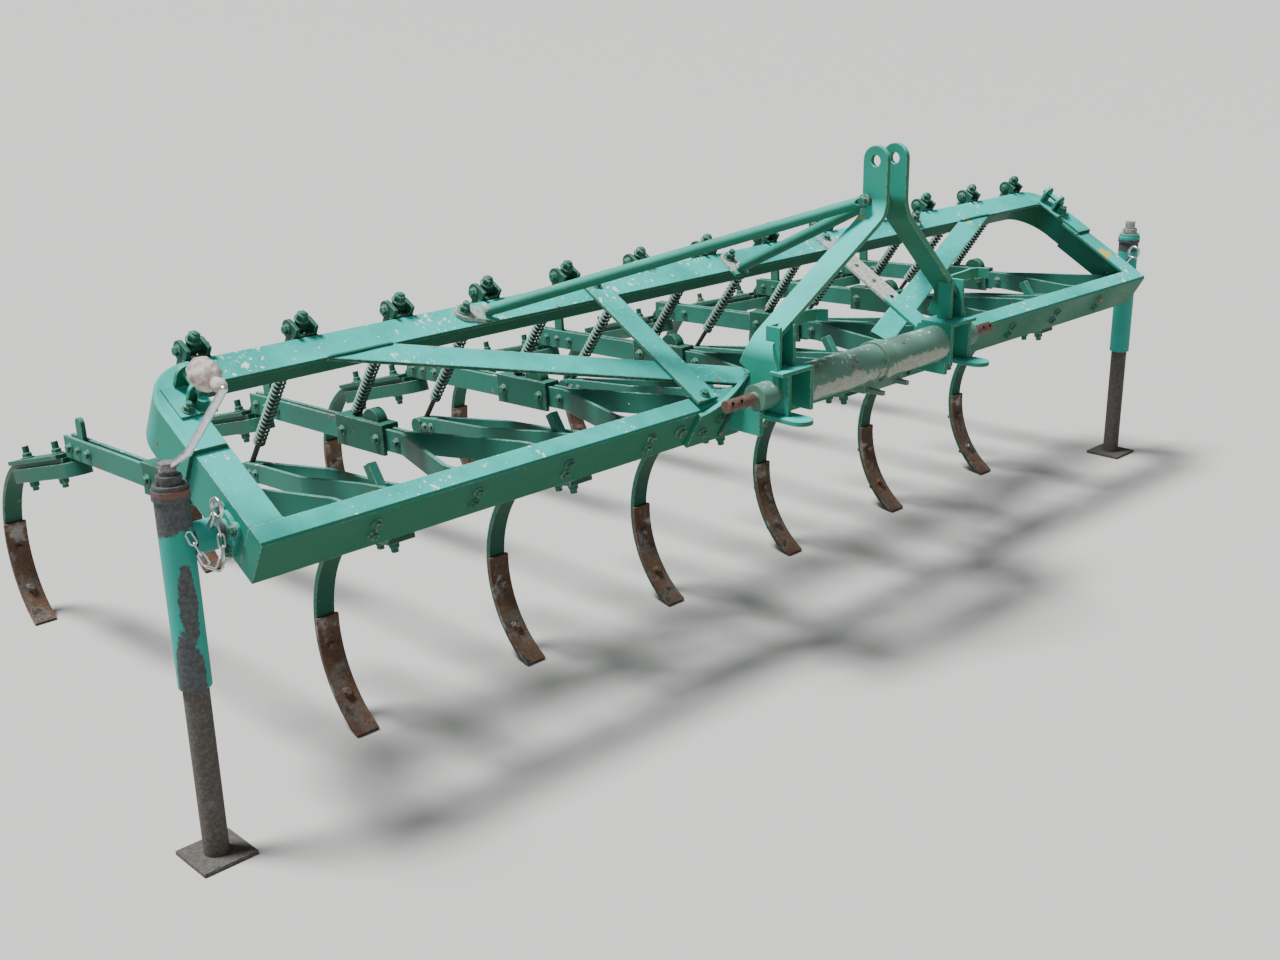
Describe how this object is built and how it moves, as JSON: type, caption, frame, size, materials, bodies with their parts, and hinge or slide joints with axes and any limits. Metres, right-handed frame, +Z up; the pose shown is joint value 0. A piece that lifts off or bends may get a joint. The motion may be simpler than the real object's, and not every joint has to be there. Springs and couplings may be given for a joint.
{
  "type": "mounted spring tine field cultivator",
  "caption": "Mounted field cultivator: angle iron frame on two screw jacks, three-point mast, sprung arms with curved leaf tines.",
  "frame": {"origin": "centre of the top link hole, midway between the two mast ears", "axes": "+X to the machine's right along the frame, +Y to the rear, +Z up; the ground is at z = -1.135 m"},
  "size_m": [3.404, 1.7224, 1.168],
  "materials": {
    "green_paint": "worn turquoise green paint, chipped and lightly rusted",
    "dark_green_paint": "darker green paint with grime",
    "worn_tube": "paint worn through to grey and brown metal",
    "worn_steel": "bare grey steel with brown patches",
    "rusty_steel": "brown rust, rubbed smooth where soil wears it",
    "spring_paint": "thin green paint over dark spring wire",
    "cloth": "dirty rag wound round the crank's grip",
    "zinc": "dull zinc plated"
  },
  "bodies": {
    "frame": {"arm_fingers": "green_paint", "arm_stops": "green_paint", "brace_left": "green_paint", "brace_middle": "green_paint", "brace_pin": "rusty_steel", "brace_right": "green_paint", "corner_lugs": "green_paint", "cross_stay_left": "green_paint", "cross_stay_right": "green_paint", "cross_tube": "worn_tube", "diagonal_stay_left": "green_paint", "diagonal_stay_right": "green_paint", "front_beam": "green_paint", "front_tines": "dark_green_paint", "hitch_bracket_left": "green_paint", "hitch_bracket_right": "green_paint", "hitch_tabs": "green_paint", "jack_stubs": "green_paint", "link_pins": "rusty_steel", "long_bars_left": "green_paint", "long_bars_right": "green_paint", "mast_gussets": "green_paint", "mast_plate_left": "green_paint", "mast_plate_right": "green_paint", "pivot_brackets": "green_paint", "pivot_shaft": "rusty_steel", "rear_beam": "green_paint", "rear_corner_left": "green_paint", "rear_corner_right": "green_paint", "rear_tines": "dark_green_paint", "rod_ears": "dark_green_paint", "short_arm_ends": "green_paint", "short_bars_left": "green_paint", "short_bars_right": "green_paint", "side_rail_left": "green_paint", "side_rail_right": "green_paint", "spring_rods": "worn_steel", "spring_seats": "dark_green_paint", "springs": "spring_paint", "tine_clamps": "dark_green_paint", "tine_holders": "dark_green_paint", "tine_points": "rusty_steel", "trunnions": "dark_green_paint"},
    "jack_left": {"jack_tube_left": "green_paint", "jack_crank": "worn_steel", "crank_grip": "cloth", "lock_pin_left": "zinc"},
    "jack_left_leg": {"jack_leg_left": "green_paint"},
    "jack_right": {"jack_tube_right": "green_paint", "lock_pin_right": "zinc"},
    "jack_right_leg": {"jack_leg_right": "green_paint"}
  },
  "joints": [
    {"name": "jack_left_swing", "type": "hinge", "parent": "frame", "child": "jack_left", "pos_m": [-1.59, 0.2575, -0.515], "axis": [1, 0, 0], "range_deg": [0, 90]},
    {"name": "jack_left_screw", "type": "slide", "parent": "jack_left", "child": "jack_left_leg", "axis": [0, 0, 1], "range_m": [-0.03, 0.28]},
    {"name": "jack_right_swing", "type": "hinge", "parent": "frame", "child": "jack_right", "pos_m": [1.59, 0.2575, -0.515], "axis": [1, 0, 0], "range_deg": [0, 90]},
    {"name": "jack_right_screw", "type": "slide", "parent": "jack_right", "child": "jack_right_leg", "axis": [0, 0, 1], "range_m": [-0.03, 0.28]}
  ]
}
